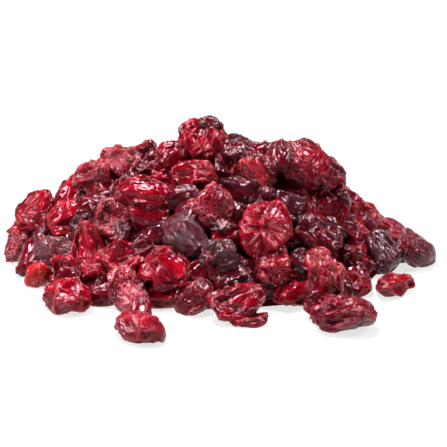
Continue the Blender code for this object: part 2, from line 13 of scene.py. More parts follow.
import bmesh
import bpy
import numpy as np
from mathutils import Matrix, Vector
from mathutils.bvhtree import BVHTree


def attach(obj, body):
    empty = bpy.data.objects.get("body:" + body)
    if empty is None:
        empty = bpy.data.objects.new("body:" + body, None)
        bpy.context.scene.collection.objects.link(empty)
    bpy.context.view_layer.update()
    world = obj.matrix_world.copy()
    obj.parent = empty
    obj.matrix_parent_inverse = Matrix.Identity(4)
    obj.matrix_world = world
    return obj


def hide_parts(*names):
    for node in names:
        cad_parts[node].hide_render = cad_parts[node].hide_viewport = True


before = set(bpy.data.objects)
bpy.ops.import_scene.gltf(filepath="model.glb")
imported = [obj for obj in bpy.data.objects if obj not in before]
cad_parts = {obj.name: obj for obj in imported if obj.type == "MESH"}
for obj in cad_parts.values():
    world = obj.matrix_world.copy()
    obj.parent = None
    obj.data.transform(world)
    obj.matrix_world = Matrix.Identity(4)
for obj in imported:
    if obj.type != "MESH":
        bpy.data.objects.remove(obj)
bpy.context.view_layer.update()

MM = 0.001
NODE = "cranberries"
SEED = 20

# The heap's foot is a rounded oblong, and its ridge runs along X.
HEAP_LEFT = 56.0
HEAP_RIGHT = 55.0
RIDGE_BACK = 5.0
HEAP_FRONT = 42.0
HEAP_BACK = 38.0
FOOT_SQUARENESS = 2.4
SLOPE_ROUNDNESS = 1.5
# Places along the ridge, and its height at each.
RIDGE_AT = (-56, -50, -36, -24, -12, -5, 5, 20, 31, 40, 50, 55)
RIDGE_HEIGHT = (10.5, 16, 25, 31, 32.5, 37, 33, 31.5, 25, 12, 6.5, 6)

# The core stays this far below the tops of the berries, and its edge is a low wall.
COVER = 6.2
CORE_SHORTER = 1.07
CORE_NARROWER = 1.10
CORE_EDGE = 2.0
CORE_RINGS = 5
CORE_SPOKES = 22

# A berry gives way where it meets others: this share of it, in percent, stays clear of them but for
# the depth that follows. The last depth is cut off flat by the table.
HARD_TO_PRESS = 90
PRESS = 1.4
TABLE_PRESS = 0.45

# The grid of heights that the berries are laid on.
CELL = 0.8
GRID_X = (-68.0, 68.0)
GRID_Y = (-68.0, 60.0)

# The front view that the marks of the berries are read in: across, and up from the table's middle.
EYE_RISE = math.radians(22.0)
EYE_DISTANCE = 335.0
EYE_ACROSS = 0.9
EYE_UP = 10.9
ACROSS = np.array((1.0, 0.0, 0.0))
UP = np.array((0.0, math.sin(EYE_RISE), math.cos(EYE_RISE)))
TO_EYE = np.array((0.0, -math.cos(EYE_RISE), math.sin(EYE_RISE)))
EYE = EYE_ACROSS * ACROSS + EYE_UP * UP + EYE_DISTANCE * TO_EYE
SIGHT_FROM = -62.0
SIGHT_TO = 14.0
SIGHT_STEP = 0.5

# How far a berry on the slope turns its flat side from the slope towards the front. It turns less
# where the heap is lower than the second value.
FACING = 0.35
FACING_FROM = 15.0
# A front berry's middle may be this far above the smooth height, and may climb this far forward.
FRONT_PROUD = 0.5
FRONT_CLIMB = 2.0

# The broad forms. Thickness is a share of the width. Flats is how many sides are pressed flat. The
# other depths are shares of the half thickness, but for lumps and groove, which are shares of the size.
Form = namedtuple("Form", "thickness lumps flats groove cup ruffle fold")
FORMS = {
    "plump": Form(0.72, 0.14, 4, 0.22, 0.1, 0.15, 0.15),
    "smooth": Form(0.72, 0.08, 1, 0.08, 0.0, 0.05, 0.20),
    "dense": Form(0.74, 0.12, 4, 0.20, 0.1, 0.12, 0.15),
    "star": Form(0.66, 0.12, 2, 0.10, 0.3, 0.12, 0.10),
    "pleated": Form(0.60, 0.12, 3, 0.28, 0.3, 0.25, 0.30),
    "cupped": Form(0.50, 0.13, 3, 0.20, 0.8, 0.30, 0.25),
    "folded": Form(0.50, 0.13, 3, 0.34, 0.4, 0.30, 0.65),
}
# A flat lies between these shares of the size from the middle, and takes this much of what bulges
# beyond it. A groove reaches this far to each side of its middle. Halfway round from
# its deepest side to its shallowest this share of it is left. Most grooves run along the berry.
FLAT_REACH = (0.52, 0.82)
FLAT_FIRMNESS = 0.92
GROOVE_WIDTH = 0.30
GROOVE_FADE = 0.5
GROOVE_LEAN = (0.5, 1, 1)
# Lumps are a sum of slow waves: how many, their pitch, and how far the sum reaches.
LUMP_WAVES = 5
LUMP_PITCH = (1.6, 3.0)
LUMP_REACH = 1.3
# A rim ruffles in these numbers of waves round it, which rise towards it by this power. A fold bends by
# this much less or more.
RUFFLE_WAVES = (2, 3, 4)
RUFFLE_RISE = 1.5
FOLD_RANGE = (0.8, 1.2)
# The folds of the skin stand out a little from the broad form, which is this share of the full size.
BROAD_SHARE = 0.98

# The berries that show from the front, the lowest first. Marks and sizes are in millimetres, the
# slant of the long side is in degrees, and the tone runs from 0, near black, to 1, bright red.
Berry = namedtuple("Berry", "across up length width slant form tone")
FRONT_BERRIES = (
    # The front edge, on the table, with the berries in its shadow first.
    Berry(-31.3, -8.4, 7.0, 6.0, 0, "plump", 0.40),
    Berry(-15.4, -9.2, 8.5, 6.5, 5, "plump", 0.78),
    Berry(-1.2, -8.4, 8.0, 6.5, 20, "plump", 0.25),
    Berry(13.2, -6.4, 7.0, 6.0, 0, "smooth", 0.04),
    Berry(21.2, -7.8, 12.5, 6.8, 5, "plump", 0.60),
    Berry(5.8, -8.4, 11.0, 7.0, 80, "plump", 0.15),
    Berry(27.5, -9.0, 13.0, 8.0, 60, "plump", 0.30),
    Berry(-40.0, -5.0, 10.0, 7.0, 70, "plump", 0.25),
    Berry(-46.0, -1.0, 9.0, 7.0, 30, "plump", 0.30),
    Berry(47.5, 3.0, 9.0, 6.5, 10, "plump", 0.20),
    Berry(37.0, -5.4, 7.5, 7.0, 30, "dense", 0.45),
    Berry(47.2, -6.0, 12.2, 5.8, 5, "plump", 0.70),
    Berry(52.2, 3.6, 14.0, 9.5, -12, "smooth", 0.20),
    Berry(-54.0, 4.6, 10.0, 8.0, 50, "dense", 0.35),
    Berry(-49.4, -3.2, 7.5, 6.5, 20, "smooth", 0.90),
    Berry(-40.9, -9.6, 11.5, 9.5, -15, "dense", 0.70),
    Berry(-21.2, -14.9, 12.0, 5.0, 88, "pleated", 0.42),
    Berry(-20.6, -18.7, 12.8, 8.0, -16, "plump", 0.65),
    Berry(-7.3, -9.2, 9.5, 8.0, 55, "plump", 0.32),
    Berry(4.9, -10.9, 13.6, 8.2, 12, "pleated", 0.52),
    Berry(33.2, -13.4, 15.5, 10.4, -5, "dense", 0.40),
    # The foot of the slope.
    Berry(-21.3, -1.6, 9.5, 6.5, 90, "smooth", 0.12),
    Berry(-19.7, 3.5, 8.0, 6.5, 0, "dense", 0.20),
    Berry(21.0, -0.8, 10.0, 7.0, 80, "smooth", 0.12),
    Berry(36.2, -0.8, 10.5, 8.5, -60, "plump", 0.25),
    Berry(42.9, 3.0, 11.5, 9.5, 110, "plump", 0.03),
    Berry(-38.3, -0.8, 12.0, 7.5, 5, "plump", 0.80),
    Berry(-5.1, -2.2, 9.0, 7.5, 60, "dense", 0.42),
    Berry(3.0, -2.2, 10.5, 8.0, 35, "pleated", 0.15),
    Berry(13.0, -0.3, 11.5, 9.5, -60, "dense", 0.60),
    Berry(28.4, -1.9, 13.0, 8.0, 100, "dense", 0.65),
    Berry(-0.5, 2.2, 8.5, 8.0, 30, "dense", 0.04),
    Berry(-27.5, 0.8, 12.0, 10.5, 40, "cupped", 0.85),
    Berry(-14.0, -1.9, 13.0, 10.0, -50, "folded", 0.90),
    Berry(-24.6, -7.2, 12.0, 9.0, -65, "cupped", 0.60),
    Berry(-44.3, 3.2, 11.5, 8.0, -10, "smooth", 0.06),
    Berry(-35.0, 3.8, 14.0, 7.5, 100, "folded", 0.95),
    # The middle of the slope.
    Berry(23.5, 8.1, 9.0, 7.5, 70, "dense", 0.10),
    Berry(4.3, 13.5, 8.0, 7.0, 20, "smooth", 0.10),
    Berry(-51.2, 10.0, 11.0, 8.0, 25, "plump", 0.80),
    Berry(36.7, 4.9, 7.5, 6.0, 30, "dense", 0.60),
    Berry(29.7, 5.4, 7.5, 5.5, 0, "plump", 0.20),
    Berry(1.6, 8.1, 8.5, 7.0, -40, "dense", 0.65),
    Berry(-39.7, 11.3, 13.0, 9.5, 15, "folded", 0.92),
    Berry(-27.8, 12.4, 12.5, 11.0, 20, "cupped", 0.60),
    Berry(-19.4, 14.0, 10.5, 8.5, -20, "dense", 0.42),
    Berry(-9.5, 7.6, 13.0, 11.0, -40, "smooth", 0.20),
    Berry(12.4, 8.8, 14.0, 12.8, 80, "star", 0.95),
    Berry(-5.7, 13.8, 8.0, 6.0, -40, "smooth", 0.60),
    Berry(-1.9, 15.4, 10.0, 8.0, 60, "dense", 0.50),
    Berry(44.6, 9.5, 9.0, 5.5, -10, "pleated", 0.60),
    Berry(35.1, 8.6, 8.0, 6.0, -20, "plump", 0.35),
    # The upper slope.
    Berry(-53.0, 15.0, 6.5, 5.5, 80, "plump", 0.30),
    Berry(-48.9, 13.6, 11.5, 9.5, 35, "cupped", 0.95),
    Berry(18.4, 15.9, 11.0, 8.0, -25, "smooth", 0.08),
    Berry(36.5, 12.2, 9.0, 7.5, -30, "cupped", 0.70),
    Berry(28.4, 14.3, 10.5, 8.5, -35, "cupped", 0.45),
    Berry(38.9, 15.7, 10.0, 7.0, -40, "plump", 0.60),
    Berry(-10.5, 17.6, 9.0, 7.0, 10, "smooth", 0.10),
    Berry(6.2, 20.0, 12.5, 8.0, -15, "smooth", 0.02),
    Berry(-25.7, 21.0, 8.0, 6.5, 30, "dense", 0.20),
    Berry(-20.0, 18.9, 13.0, 7.5, -8, "plump", 0.55),
    Berry(33.0, 20.3, 6.5, 6.0, 60, "smooth", 0.05),
    Berry(22.0, 21.6, 11.0, 10.0, -60, "plump", 0.35),
    Berry(2.4, 26.0, 9.5, 7.0, 90, "dense", 0.15),
    Berry(-14.9, 24.8, 9.0, 7.0, 10, "cupped", 0.75),
    Berry(-6.8, 23.5, 11.5, 8.0, -10, "cupped", 0.70),
    Berry(9.2, 24.8, 13.0, 8.5, -35, "dense", 0.55),
    Berry(-39.4, 18.9, 12.5, 9.0, 38, "pleated", 0.70),
    Berry(-31.3, 21.9, 11.5, 8.5, 65, "smooth", 0.65),
    # The ridge.
    Berry(-34.6, 24.4, 9.5, 6.5, 20, "plump", 0.55),
    Berry(-19.4, 28.6, 10.0, 6.5, 75, "folded", 0.25),
    Berry(-26.7, 27.4, 11.0, 9.0, 10, "star", 0.70),
    Berry(-13.0, 29.0, 9.5, 8.0, 50, "dense", 0.48),
    Berry(12.4, 29.2, 10.5, 6.5, -10, "dense", 0.08),
    Berry(5.4, 29.6, 9.5, 6.5, -20, "dense", 0.10),
    Berry(22.2, 27.0, 13.0, 11.0, -25, "plump", 0.50),
    Berry(28.9, 24.8, 9.5, 7.5, -60, "dense", 0.40),
    Berry(16.0, 28.5, 9.5, 7.0, 80, "dense", 0.20),
    Berry(-4.8, 33.2, 12.0, 10.4, 75, "dense", 0.75),
    Berry(-2.4, 37.6, 6.5, 4.5, -10, "dense", 0.12),
    # A flat scrap that lies in front.
    Berry(6.5, -14.9, 11.5, 3.8, 0, "cupped", 0.60),
)

# Berries round the foot of the back: how many, the angles between which they lie, in degrees, how far
# out, and the height that they fill, which is at most a share of the ridge's.
FOOT_BERRIES = 9
FOOT_FROM = 40.0
FOOT_TO = 150.0
FOOT_INSIDE = 0.88
FOOT_STRAY = (0.93, 1.05)
FOOT_HEIGHT = 6.5
FOOT_SHARE = 0.5
# The other berries fill the ends and the back up to the heap's smooth height. In front of FRONT_LINE
# they fill only gaps that are deeper by FRONT_DEEPER, and their tones are darkened there as painted
# shade in those gaps. None lies in front of FILL_FROM.
# This share of a filling berry, in percent, is at most FILL_PROUD above the height that it fills.
FILL_MOST = 86
FILL_GAP = 2.4
FILL_SHARE = 90
FILL_PROUD = 1.0
FILL_TRIES = 6
FILL_SHRINK = 0.88
FILL_PATCH = 5
FILL_STRAY = 1.5
FILL_LENGTH = (9.0, 14.5)
FRONT_DEEPER = 4.5
FRONT_LINE = 7.0
FILL_FROM = -25.0
FRONT_GAP_SHADE = 0.35
FILL_WIDTH_SHARE = (0.62, 0.88)
FILL_FORMS = ("plump", "smooth", "dense", "star", "pleated", "cupped", "folded")
FILL_TILT = 0.25
FILL_RISE = 0.01
DARK_TONES = (0.0, 0.35)
BRIGHT_TONES = (0.5, 0.95)
DARK_SHARE = 0.42

# A round ball's fineness, a few-sided one's sides, and the angles from its top at which the rings of
# the few-sided one lie, in degrees.
ROUND_DETAIL = 4
BERRY_SIDES = 7
BERRY_RINGS = (36, 76, 120)
# A ball with few sides lies inside the round one, and this makes up for it.
FEW_SIDES_GROWTH = 1.06

# A berry that touches nothing is moved until it presses this far into its neighbour.
GATHER_PRESS = 0.7
GATHER_PASSES = 60
SMALLEST_GAP = 0.01

# A berry where it lies. Its axes are rows: the long side, the wide side and the thin side.
Laid = namedtuple("Laid", "berry number axes centre")

# The skin. Dents is how many hollows the skin has sunk into; the depths are in millimetres, of the
# dents, of the folds between them and of the fine creases. The pattern is how folds and creases run.
Skin = namedtuple("Skin", "dents sag fold crease pattern")
SKINS = {
    "plump": Skin(7, 1.3, 0.85, 0.26, "net"),
    "smooth": Skin(6, 0.9, 0.35, 0.10, "net"),
    "dense": Skin(9, 1.1, 0.90, 0.40, "net"),
    "star": Skin(12, 1.0, 0.60, 0.30, "star"),
    "pleated": Skin(7, 1.0, 0.95, 0.30, "lines"),
    "cupped": Skin(7, 1.1, 0.80, 0.26, "net"),
    "folded": Skin(6, 1.2, 0.85, 0.26, "lines"),
}
# The dents are given for a berry of this size. A larger one has more, by this power, give or take.
DENTED_SIZE = 10
DENT_GROWTH = 1.2
DENT_RANGE = (0.8, 1.25)
FEWEST_DENTS = 5
FOLDS_PER_DENT = 4
CREASES_PER_DENT = 18
# How sharply the crests of dents, folds and creases rise.
DENT_SHARPNESS = 1.0
FOLD_SHARPNESS = 1.3
CREASE_SHARPNESS = 1.6
# The broad form runs at this share of the way up from the hollows to the crests.
DENT_LEVEL = 0.4
FOLD_LEVEL = 0.3
CREASE_LEVEL = 0.25
# The relief is shallower on a berry that is smaller than this.
FULL_RELIEF_SIZE = 9.5
# The lowest points of the relief count as hollow and the highest as crest, beyond these percentages.
HOLLOW_TO_CREST = (4, 97)
# How far dents and folds stray from straight lines, and the pitch at which they do.
DENT_STRAY = (0.18, 2.5)
FOLD_STRAY = (0.10, 6.0)
STRAY_WAVES = 6
# Waves run at pitches in this range, and a sum of them is brought to this height.
PITCH_RANGE = (0.7, 1.4)
WAVE_HEIGHT = 0.6
# Folds run long, because the place along them is drawn in to this share in each pattern.
NET_STRETCH = (0.4, 0.8)
LINE_STRETCH = 0.28
STAR_STRETCH = 0.45
STAR_STRAY = 0.5
# These keep a length that is divided by from being 0.
SHORTEST = 1e-12
SHORTEST_OUT = 0.001
# A crest is this share of a hollow wide on each side.
CREST_WIDTH = 0.7
# Parts of a skin stay plain: the least depth of the folds there, their mean depth and how it swings.
PLAIN_DEPTH = 0.15
MEAN_DEPTH = 0.6
DEPTH_SWING = 0.7
PLAIN_WAVES = 5
PLAIN_PITCH = 2.4

# The points of a skin lie this far apart: on the berries that show from the front, on the others, and
# on those below them. The net of triangles is this much finer on the side that shows.
FRONT_SPACING = 0.28
BACK_SPACING = 0.40
UNDER_SPACING = 0.60
FRONT_DENSER = 0.75
# Roughly an icosahedron's side for a ball of radius 1, and the fewest steps that it is cut into.
BALL_SIDE = 1.08
FEWEST_STEPS = 8

# Dark berries that the solid doesn't have lie under the others and show only through the gaps, where
# their darkness is painted shade: how far apart they lie, how far they sink into the core, their tones,
# and the number that the first one has.
UNDER_PITCH = 8.0
UNDER_DEPTH = 3.0
UNDER_SHADE_TONE = (0.1, 0.4)
UNDER_FIRST = 1000

# The core inside the berries is drawn in to this share of its length and depth, and is dark and dull
# like berries in shadow.
CORE_SHARE = 0.84
CORE_RED = (0.056, 0.0004, 0.0028)

# The berries with a grey dusty skin, with a pale pink bloom that is partly painted glints, or with a
# warmer red, by their marks.
MARKED_SKINS = {
    "dusty": {(-9.5, 7.6): 1.0, (-0.5, 2.2): 0.6, (42.9, 3.0): 0.5, (18.4, 15.9): 0.4, (-44.3, 3.2): 0.4},
    "bloom": {(-24.6, -7.2): 0.65, (-54.0, 4.6): 0.6, (-27.8, 12.4): 0.35, (-1.9, 15.4): 0.3,
              (-26.7, 27.4): 0.3, (-44.3, 3.2): 0.3, (-34.6, 24.4): 0.3, (28.4, -1.9): 0.25,
              (-7.3, -9.2): 0.2, (13.0, -0.3): 0.2, (9.2, 24.8): 0.2},
    "warm": {(-49.4, -3.2): 0.5, (28.4, -1.9): 0.15, (9.2, 24.8): 0.15},
}

# The body of the skin runs through these colours, each at its ripeness.
BLACK_RED = (0.027, 0.0045, 0.0095)
DEEP_RED = (0.14, 0.001, 0.007)
BRIGHT_RED = (0.335, 0.0006, 0.010)
RIPENESS = ((0.0, BLACK_RED), (0.35, DEEP_RED), (0.85, BRIGHT_RED))
# In the hollows it turns to a darker red by this share, as painted shade, and it is darkest along the
# edges of facets, as painted shade in their creases. Pale lines along the crests are painted
# highlights, the bloom is pale and partly painted glints, and dust is greyish.
HOLLOW_SHADE_RED = (0.10, 0.0005, 0.004)
HOLLOW_SHADE_SHARE = 0.65
FACET_EDGE_SHADE = (0.03, 0.0005, 0.003)
GLINT_AND_BLOOM_PINK = (0.66, 0.19, 0.24)
DUSTY_PINK = (0.078, 0.034, 0.044)
WARM_RED = (0.50, 0.022, 0.006)
WARM_SHARE = 1.6
# The tint of the gleam on a red skin and on a black one, and how far light goes into each.
RED_GLEAM = (0.95, 0.62, 0.68)
BLACK_GLEAM = (1.0, 0.76, 0.82)
RED_GLOW = 0.55
BLACK_GLOW = 0.08
GLOW_REACH = (1.0, 0.10, 0.10)
GLOW_DEPTH = 0.0018
SKIN_REFRACTION = 1.44

# Noise in the skin, as how many to the metre for patches and to the millimetre for the others, and
# how much detail it has.
PATCHES = (260.0, 3.0)
SPECKS = (1.5, 2.0)
GRAINS = (2.4, 2.0)
CREASED_PARTS = (0.35, 1.0)
# Fine wrinkles, too small for the mesh: their spacing and height.
WRINKLE_SPACING = 0.95
WRINKLE_HEIGHT = 0.04
WRINKLE_SHARPNESS = 6.0
# Between the wrinkles the skin lies in small facets. Facets and patches each have their own shade.
FACET_SPACING = 0.85
FACET_SHADES = 0.55
PATCH_SHADES = 1.2
# How far the wrinkles and facets stray from straight lines.
BENT = 0.9
# Where each of these begins, as a value of what it follows, and how steeply it rises from there.
CREASED_FROM = (0.40, 5.0)
EDGE_SHADE_FROM = (0.35, 2.0)
BROKEN_FROM = (0.45, 9.0)
GLINT_LINE_FROM = (0.45, 4.0)
BLOOM_AND_GLINT_FROM = (0.48, 9.0)
DUST_FROM = (0.38, 5.0)
# The least that each of these is, and how much more where the value that it follows is 1.
SHADES_BY_TONE = (0.45, 0.85)
EDGE_SHADE_BY_CREASED = (0.3, 0.5)
GLINT_LINE_BY_CREST = (0.05, 0.55)
GLINT_LINE_BY_TONE = (0.25, 0.85)
BLOOM_AND_GLINT_BY_CREST = (0.2, 0.8)
TILT_BY_CREASED = (0.10, 0.8)
ROUGHNESS_BY_DUST = (0.07, 0.16)

# The kinds of berry by tone, each with its darkest tone, the brightest first.
Kind = namedtuple("Kind", "name darkest glow gleam")
KINDS = (
    Kind("scarlet_berries", 0.78, RED_GLOW, RED_GLEAM),
    Kind("crimson_berries", 0.62, RED_GLOW, RED_GLEAM),
    Kind("ruby_berries", 0.42, RED_GLOW, RED_GLEAM),
    Kind("maroon_berries", 0.27, RED_GLOW, RED_GLEAM),
    Kind("wine_berries", 0.17, RED_GLOW, RED_GLEAM),
    Kind("black_berries", 0.0, BLACK_GLOW, BLACK_GLEAM),
)

# The table is a pale plate that glows by itself, this far to each side of the heap.
TABLE_REACH = 1600.0
TABLE_CORNERS = ((-1, -1), (1, -1), (1, 1), (-1, 1))
TABLE_FINISH = {
    "Base Color": (0.15, 0.15, 0.15, 1.0),
    "Roughness": 0.5,
    "Emission Color": (1.0, 1.0, 1.0, 1.0),
    "Emission Strength": 0.74,
}

# The lights, with place and size in metres and power in watts. They face a point just over the table.
Light = namedtuple("Light", "name place size power")
LIGHTS = (
    Light("key", (-0.10, 0.16, 0.58), 0.20, 6.6),
    Light("left_box", (-0.42, -0.08, 0.38), 0.15, 3.3),
    Light("right_box", (0.36, 0.02, 0.42), 0.14, 2.6),
)
LIT_POINT = (0, 0, 0.01)
# The studio is dark above a pale band along the horizon: how high the band reaches, and how sharp its
# edge is.
STUDIO_DARK = (0.06, 0.06, 0.06)
STUDIO_PALE = (0.55, 0.55, 0.55)
HAZE_TOP = 0.22
HAZE_EDGE = 12.0
# The camera.
LENS = 100.0
SENSOR_WIDTH = 36.0

# The sockets of a Mix node that blends colours.
MIX_SHARE = 0
MIX_ONE = 6
MIX_OTHER = 7
MIX_RESULT = 2


def heap_height(x, y):
    """The smooth height that the tops of the berries reach, at x and y."""
    along = np.abs(x) / np.where(x < 0, HEAP_LEFT, HEAP_RIGHT)
    narrowing = np.clip(1 - along**FOOT_SQUARENESS, 0, 1) ** (1 / FOOT_SQUARENESS)
    out = y - RIDGE_BACK
    reach = np.where(out < 0, HEAP_FRONT, HEAP_BACK) * narrowing
    fall = 1 - (np.abs(out) / np.maximum(reach, CELL)) ** SLOPE_ROUNDNESS
    return np.interp(x, RIDGE_AT, RIDGE_HEIGHT) * np.clip(fall, 0, 1)


def core_height(x, y):
    out = RIDGE_BACK + (y - RIDGE_BACK) * CORE_NARROWER
    return np.maximum(heap_height(x * CORE_SHORTER, out) - COVER, 0)


def unit(vector):
    return vector / np.linalg.norm(vector)


# The ways to the corners and to the middles of the edges and sides of a box.
BOX_WAYS = [way for way in itertools.product((-1, 0, 1), repeat=3) if any(way)]
CORNER_RAYS = np.array([unit(np.array(way)) for way in BOX_WAYS])


def slope_normal(x, y):
    """The direction square to the heap's smooth surface."""
    reach = 4.0
    rise_x = heap_height(x + reach, y) - heap_height(x - reach, y)
    rise_y = heap_height(x, y + reach) - heap_height(x, y - reach)
    return unit(np.array((-rise_x, -rise_y, 2 * reach), dtype=float))


def round_rays():
    """Directions spread evenly round a ball, for laying a berry on the grid."""
    ball = bmesh.new()
    bmesh.ops.create_icosphere(ball, subdivisions=ROUND_DETAIL, radius=1.0)
    rays = np.array([vert.co for vert in ball.verts])
    ball.free()
    return rays / np.linalg.norm(rays, axis=1)[:, None]


def few_rays():
    """Directions and triangles of a ball with few sides, its poles on the thin axis."""
    rays = [(0.0, 0.0, 1.0)]
    for ring in BERRY_RINGS:
        polar = math.radians(ring)
        out = math.sin(polar)
        for side in range(BERRY_SIDES):
            turn = math.tau * side / BERRY_SIDES
            rays.append((out * math.cos(turn), out * math.sin(turn), math.cos(polar)))
    rays.append((0.0, 0.0, -1.0))
    last = len(rays) - 1
    faces = []
    for side in range(BERRY_SIDES):
        after = (side + 1) % BERRY_SIDES
        faces.append((0, 1 + side, 1 + after))
        faces.append((last, last - BERRY_SIDES + after, last - BERRY_SIDES + side))
        for ring in range(len(BERRY_RINGS) - 1):
            near = 1 + ring * BERRY_SIDES
            far = near + BERRY_SIDES
            faces.append((near + side, far + side, far + after))
            faces.append((near + side, far + after, near + after))
    return np.array(rays), faces


def swells(rays, draw):
    """Broad uneven swellings round a ball, mostly between -1 and 1."""
    directions = draw.normal(size=(LUMP_WAVES, 3))
    directions /= np.linalg.norm(directions, axis=1)[:, None]
    pitches = draw.uniform(*LUMP_PITCH, (LUMP_WAVES, 1))
    phases = draw.uniform(0, math.tau, LUMP_WAVES)
    return LUMP_REACH * np.sin(rays @ (directions * pitches).T + phases).mean(axis=1)


def berry_form(rays, berry, number):
    """Points of a berry's broad form along the rays, before it is centred and brought to size."""
    draw = np.random.default_rng([SEED, number])
    form = FORMS[berry.form]
    half = np.array((berry.length, berry.width, berry.width * form.thickness)) / 2
    points = rays * (1 + form.lumps * swells(rays, draw))[:, None]
    for _ in range(form.flats):
        side = unit(draw.normal(size=3))
        over = np.maximum(points @ side - draw.uniform(*FLAT_REACH), 0)
        points -= FLAT_FIRMNESS * over[:, None] * side
    across, towards = unit(draw.normal(size=3) * GROOVE_LEAN), unit(draw.normal(size=3))
    sunk = np.exp(-((rays @ across / GROOVE_WIDTH) ** 2)) * np.clip(GROOVE_FADE + rays @ towards, 0, 1)
    points *= (1 - form.groove * sunk)[:, None] * half
    rim = rays[:, 0] ** 2 + rays[:, 1] ** 2
    around = np.arctan2(rays[:, 1], rays[:, 0])
    starts = draw.uniform(0, math.tau, len(RUFFLE_WAVES))
    wave = sum(np.sin(order * around + start) for order, start in zip(RUFFLE_WAVES, starts))
    points[:, 2] += half[2] * (form.cup * rim + form.ruffle * rim**RUFFLE_RISE * wave)
    bend = form.fold * draw.uniform(*FOLD_RANGE)
    radius = half[0] / bend
    turn = points[:, 0] / radius
    from_centre = radius - points[:, 2]
    points[:, 0] = from_centre * np.sin(turn)
    points[:, 2] = radius - from_centre * np.cos(turn)
    return points


def berry_points(rays, berry, number):
    """Points of a berry's broad form along the rays, in its own axes: long, wide and thin."""
    corners = berry_form(CORNER_RAYS, berry, number)
    low, high = corners.min(axis=0), corners.max(axis=0)
    growth = np.array((berry.length, berry.width, 1)) * BROAD_SHARE / (*(high - low)[:2], 1)
    return (berry_form(rays, berry, number) - (low + high) / 2) * growth


def sight(across, up, y):
    """The point at depth y on the line of sight through a mark."""
    mark = across * ACROSS + up * UP
    along = mark - EYE
    return EYE + along * (y - EYE[1]) / along[1]


def facing_axes(normal, slant, facing):
    """A berry's axes as rows: its long side slants as seen from the front, its thin side faces out."""
    thin = unit((1 - facing) * normal + facing * TO_EYE)
    angle = math.radians(slant)
    seen = math.cos(angle) * ACROSS + math.sin(angle) * UP
    along = unit(seen - TO_EYE * (seen @ thin) / (TO_EYE @ thin))
    return np.array((along, np.cross(thin, along), thin))


class Ground:
    """The heights of the table, the core and the berries laid so far, on a grid."""

    def __init__(self):
        self.x = np.arange(GRID_X[0], GRID_X[1], CELL) + CELL / 2
        self.y = np.arange(GRID_Y[0], GRID_Y[1], CELL) + CELL / 2
        self.height = core_height(self.x[:, None], self.y[None, :])

    def cells(self, points):
        row = np.clip(((points[:, 0] - GRID_X[0]) / CELL).astype(int), 0, len(self.x) - 1)
        column = np.clip(((points[:, 1] - GRID_Y[0]) / CELL).astype(int), 0, len(self.y) - 1)
        return row, column

    def rest(self, points, x, y):
        """The height at which a berry dropped at x and y comes to rest."""
        under = self.height[self.cells(points + (x, y, 0))]
        on_table = -TABLE_PRESS - points[:, 2].min()
        return max(np.percentile(under - points[:, 2], HARD_TO_PRESS) - PRESS, on_table)

    def add(self, points, centre):
        placed = points + centre
        np.maximum.at(self.height, self.cells(placed), placed[:, 2])


def where_sight_meets(height, across, up, start=SIGHT_FROM):
    """Where the line of sight through a mark first meets a height, coming from the front.

    If it passes over the ridge without meeting it, the place is the nearest one to the line.
    """
    nearest = None
    for y in np.arange(start, SIGHT_TO, SIGHT_STEP):
        point = sight(across, up, y)
        met = height(point[0], y)
        above = point[2] - met
        if above <= 0:
            return point
        if nearest is None or above < nearest[0]:
            nearest = (above, np.array((point[0], y, met)))
    return nearest[1]


def lay_front(ground, rays):
    """Lays the berries that show from the front, each where its mark meets the heap."""
    laid = []
    for number, berry in enumerate(FRONT_BERRIES):
        half = berry.width * FORMS[berry.form].thickness / 2

        def outermost(x, y):
            return max(heap_height(x, y), half) + FRONT_PROUD

        spot = where_sight_meets(outermost, berry.across, berry.up)
        facing = FACING * min(1.0, heap_height(spot[0], spot[1]) / FACING_FROM)
        axes = facing_axes(slope_normal(spot[0], spot[1]), berry.slant, facing)
        points = berry_points(rays, berry, number) @ axes

        def rest(x, y):
            return ground.rest(points, x, y)

        centre = where_sight_meets(rest, berry.across, berry.up, spot[1] - FRONT_CLIMB)
        centre[2] = max(centre[2], -TABLE_PRESS - points[:, 2].min())
        ground.add(points, centre)
        laid.append(Laid(berry, number, axes, centre))
    return laid


def random_berry(draw, scale):
    length = scale * draw.uniform(*FILL_LENGTH)
    form = FILL_FORMS[draw.integers(len(FILL_FORMS))]
    dark, bright = draw.uniform(*DARK_TONES), draw.uniform(*BRIGHT_TONES)
    tone = draw.choice((dark, bright), p=(DARK_SHARE, 1 - DARK_SHARE))
    return Berry(0, 0, length, length * draw.uniform(*FILL_WIDTH_SHARE), draw.uniform(0, 360), form, tone)


def drop(ground, rays, draw, berry, number, x, y):
    """A berry let down at x and y, lying nearly flat on the slope there, and its points."""
    thin = unit(slope_normal(x, y) + FILL_TILT * draw.normal(size=3))
    heading = math.radians(berry.slant)
    long_side = unit(np.cross(thin, (math.cos(heading), math.sin(heading), FILL_RISE)))
    axes = np.array((long_side, np.cross(thin, long_side), thin))
    points = berry_points(rays, berry, number) @ axes
    centre = np.array((x, y, ground.rest(points, x, y)))
    return Laid(berry, number, axes, centre), points


def lay_foot(ground, rays, draw, number):
    """Lays berries on the table round the foot of the heap's back."""
    power = 2 / FOOT_SQUARENESS
    laid = []
    for turn in np.radians(np.linspace(FOOT_FROM, FOOT_TO, FOOT_BERRIES)):
        out = FOOT_INSIDE * draw.uniform(*FOOT_STRAY)
        half_length = HEAP_LEFT if math.cos(turn) < 0 else HEAP_RIGHT
        x = out * half_length * math.copysign(abs(math.cos(turn)) ** power, math.cos(turn))
        y = RIDGE_BACK + out * HEAP_BACK * math.sin(turn) ** power
        piece, points = drop(ground, rays, draw, random_berry(draw, 1), number + len(laid), x, y)
        ground.add(points, piece.centre)
        laid.append(piece)
    return laid


